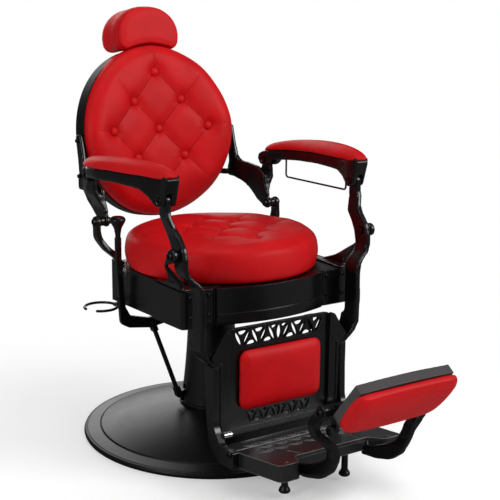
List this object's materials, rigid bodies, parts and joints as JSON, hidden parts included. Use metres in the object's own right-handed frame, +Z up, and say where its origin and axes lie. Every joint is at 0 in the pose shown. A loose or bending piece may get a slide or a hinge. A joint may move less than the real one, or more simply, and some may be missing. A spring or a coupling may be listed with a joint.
{
  "type": "hydraulic barber chair",
  "caption": "Reclining barber chair with round tufted seat and back, padded arms, headrest, pierced leg rest, flip-over foot board and hand-pumped pedestal.",
  "frame": {"origin": "on the floor at the middle of the base's flat underside", "axes": "+Z up, the sitter faces -Y, +X to the sitter's left"},
  "size_m": [0.6806, 1.2124, 1.1167],
  "materials": {
    "red_vinyl": "satin",
    "black_rubber": "matte",
    "base_enamel": "satin",
    "bright_steel": "polished",
    "dark_steel": "satin",
    "bronze": "matte",
    "black_casting": "satin"
  },
  "bodies": {
    "base": {"base_plate": "dark_steel", "edge_trim": "black_rubber", "base_cover": "base_enamel", "ram": "dark_steel", "ram_bolts": "dark_steel"},
    "lift": {"lift_sleeve": "dark_steel", "swivel_washer": "bronze"},
    "chassis": {"swivel_hub": "black_casting", "column_cover": "base_enamel", "pump_body": "black_casting", "lever_hanger": "black_casting", "seat_frame": "black_casting", "frame_bolts": "dark_steel", "crossbeam": "black_casting", "hub_bolts": "dark_steel", "seat_pan": "base_enamel", "seat_cushion": "red_vinyl", "seat_buttons": "red_vinyl", "front_tower_left": "black_casting", "front_tower_right": "black_casting", "rear_post_left": "black_casting", "rear_post_right": "black_casting", "pivot_pins": "dark_steel", "dryer_ring": "base_enamel", "side_stud": "bright_steel"},
    "backrest": {"back_bracket_left": "black_casting", "back_bracket_right": "black_casting", "back_shell": "black_casting", "back_crossbar": "black_casting", "back_cushion": "red_vinyl", "back_buttons": "red_vinyl", "back_bolts": "dark_steel", "headrest_socket": "black_casting", "headrest_knob": "black_casting", "arm_rear_pins": "dark_steel"},
    "headrest": {"headrest_stem": "bright_steel", "headrest_pad": "red_vinyl"},
    "leg_rest": {"side_lever_left": "black_casting", "side_lever_right": "black_casting", "leg_pins": "dark_steel", "leg_frame": "black_casting", "calf_pad": "red_vinyl", "footplate": "black_casting", "foot_pads": "base_enamel", "stub_bars": "bright_steel", "lock_strap": "black_casting", "curl_arm_left": "black_casting", "curl_arm_right": "black_casting"},
    "arm_left": {"arm_frame_left": "black_casting", "arm_pad_left": "red_vinyl", "towel_bar": "base_enamel"},
    "arm_right": {"arm_frame_right": "black_casting", "arm_pad_right": "red_vinyl"},
    "footboard": {"foot_board": "black_casting", "board_pad": "red_vinyl", "board_hinges": "black_casting", "board_bumpers": "black_rubber"},
    "pump_hand_lever": {"pump_lever": "black_casting"},
    "pump_link": {"pump_rod": "base_enamel"},
    "pump_crank": {"pump_rocker": "black_casting"}
  },
  "joints": [
    {"name": "lift_slide", "type": "slide", "parent": "base", "child": "lift", "axis": [0, 0, 1], "range_m": [0, 0.15]},
    {"name": "swivel", "type": "hinge", "parent": "lift", "child": "chassis", "pos_m": [0, 0, 0.38], "axis": [0, 0, 1], "continuous": true},
    {"name": "back_recline", "type": "hinge", "parent": "chassis", "child": "backrest", "pos_m": [0, 0.107, 0.572], "axis": [-1, 0, 0], "range_deg": [0, 35]},
    {"name": "headrest_slide", "type": "slide", "parent": "backrest", "child": "headrest", "axis": [0, 0.1357, 0.9907], "range_m": [0, 0.08]},
    {"name": "leg_swing", "type": "hinge", "parent": "chassis", "child": "leg_rest", "pos_m": [0, -0.286, 0.561], "axis": [-1, 0, 0], "range_deg": [0, 36.6]},
    {"name": "arm_hinge_left", "type": "hinge", "parent": "leg_rest", "child": "arm_left", "pos_m": [0.272, -0.24, 0.679], "axis": [1, 0, 0], "range_deg": [0, 38.6]},
    {"name": "arm_hinge_right", "type": "hinge", "parent": "leg_rest", "child": "arm_right", "pos_m": [-0.272, -0.24, 0.679], "axis": [1, 0, 0], "range_deg": [0, 38.6]},
    {"name": "board_flip", "type": "hinge", "parent": "leg_rest", "child": "footboard", "pos_m": [0, -0.654, 0.282], "axis": [-1, 0, 0], "range_deg": [0, 150]},
    {"name": "pump_stroke", "type": "hinge", "parent": "chassis", "child": "pump_hand_lever", "pos_m": [-0.134, 0.02, 0.32], "axis": [0, -1, 0], "range_deg": [0, 18], "stiffness_Nm_per_rad": 20, "springref_deg": -17.19},
    {"name": "pump_rod_turn", "type": "hinge", "parent": "pump_hand_lever", "child": "pump_link", "pos_m": [-0.168, 0.02, 0.312], "axis": [0, -1, 0], "range_deg": [-18, 0]},
    {"name": "pump_crank_turn", "type": "hinge", "parent": "chassis", "child": "pump_crank", "pos_m": [-0.055, 0.02, 0.111], "axis": [0, -1, 0], "range_deg": [0, 18]}
  ],
  "couplings": [
    {"joint": "leg_swing", "follows": "back_recline", "ratio": 1.043},
    {"joint": "arm_hinge_left", "follows": "back_recline", "ratio": 1.101},
    {"joint": "arm_hinge_right", "follows": "back_recline", "ratio": 1.101},
    {"joint": "pump_rod_turn", "follows": "pump_stroke", "ratio": -1},
    {"joint": "pump_crank_turn", "follows": "pump_stroke", "ratio": 1}
  ]
}
